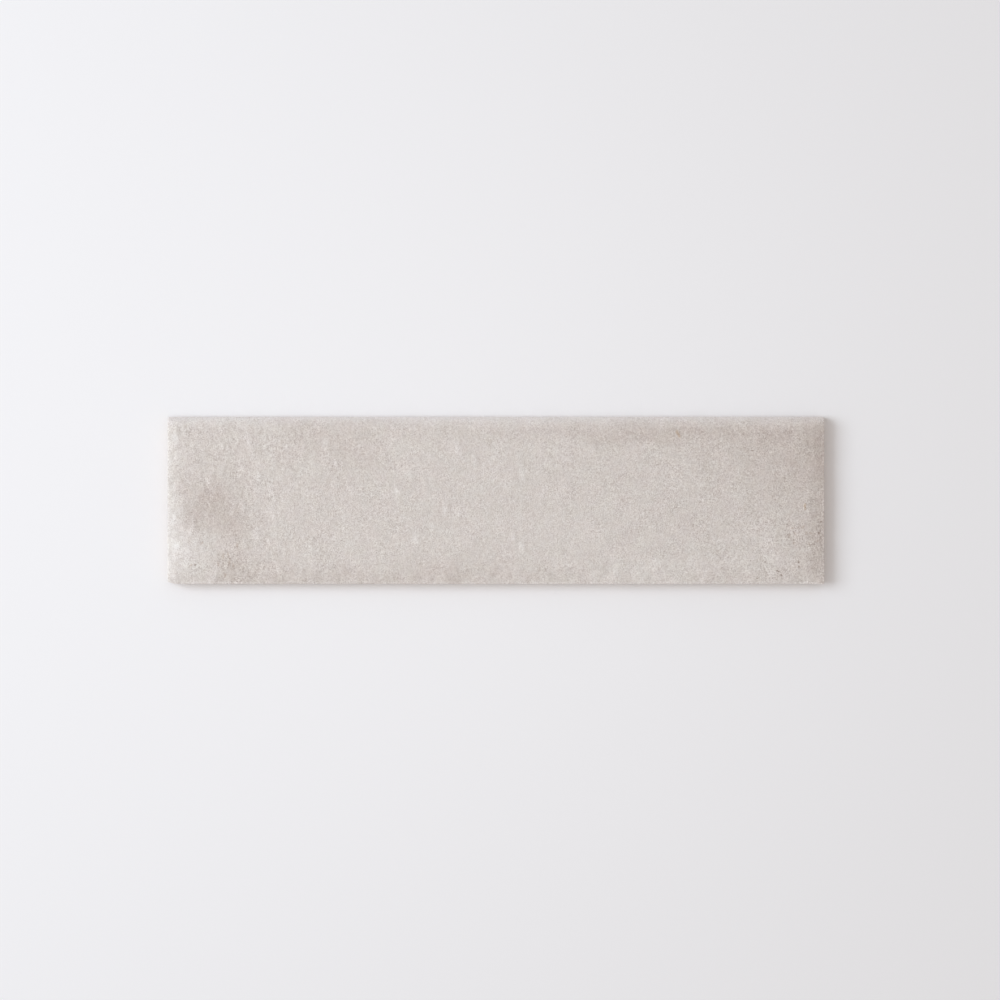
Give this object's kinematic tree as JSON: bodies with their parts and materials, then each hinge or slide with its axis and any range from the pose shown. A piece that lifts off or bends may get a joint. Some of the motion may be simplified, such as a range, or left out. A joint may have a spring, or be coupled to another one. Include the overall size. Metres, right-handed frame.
{
  "type": "bullnose tile",
  "caption": "Long rectangular matte-glazed ceramic wall tile with one long edge rolled over into a bullnose, cushioned square edges elsewhere and a keyed back for mortar.",
  "frame": {"origin": "middle of the back, on the plane of the ribs that the tile rests on", "axes": "+Z out of the glazed face, +X along the length, +Y towards the bullnose edge"},
  "size_m": [0.298, 0.076, 0.009],
  "materials": {
    "matte_glaze": "matte"
  },
  "bodies": {
    "root": {"bullnose_tile": "matte_glaze"}
  },
  "joints": []
}
